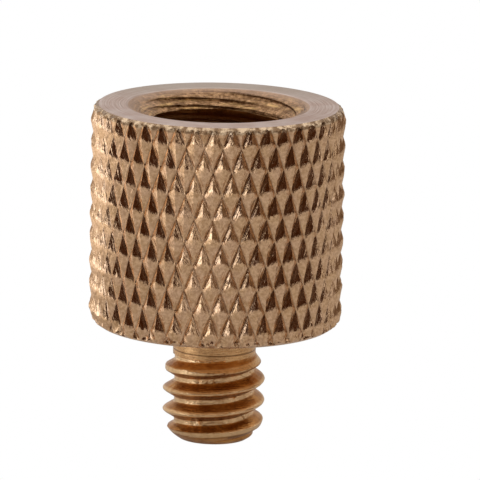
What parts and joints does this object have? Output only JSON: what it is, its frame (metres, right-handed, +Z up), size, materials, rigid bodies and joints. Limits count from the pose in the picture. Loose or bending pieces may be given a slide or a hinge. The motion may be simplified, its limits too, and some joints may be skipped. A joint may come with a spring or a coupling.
{
  "type": "tripod thread adapter",
  "caption": "Knurled brass thread adapter: a round head with a tapped blind hole in its top face and a threaded stud below.",
  "frame": {"origin": "centre of the stud's flat end face, which the adapter stands on", "axes": "+Z up the common axis of stud, head and hole, out of the hole's mouth; the knurl looks alike from every side"},
  "size_m": [0.015, 0.015, 0.02],
  "materials": {
    "turned_brass": "turned and knurled, bare"
  },
  "bodies": {
    "root": {"thread_adapter": "turned_brass"}
  },
  "joints": []
}
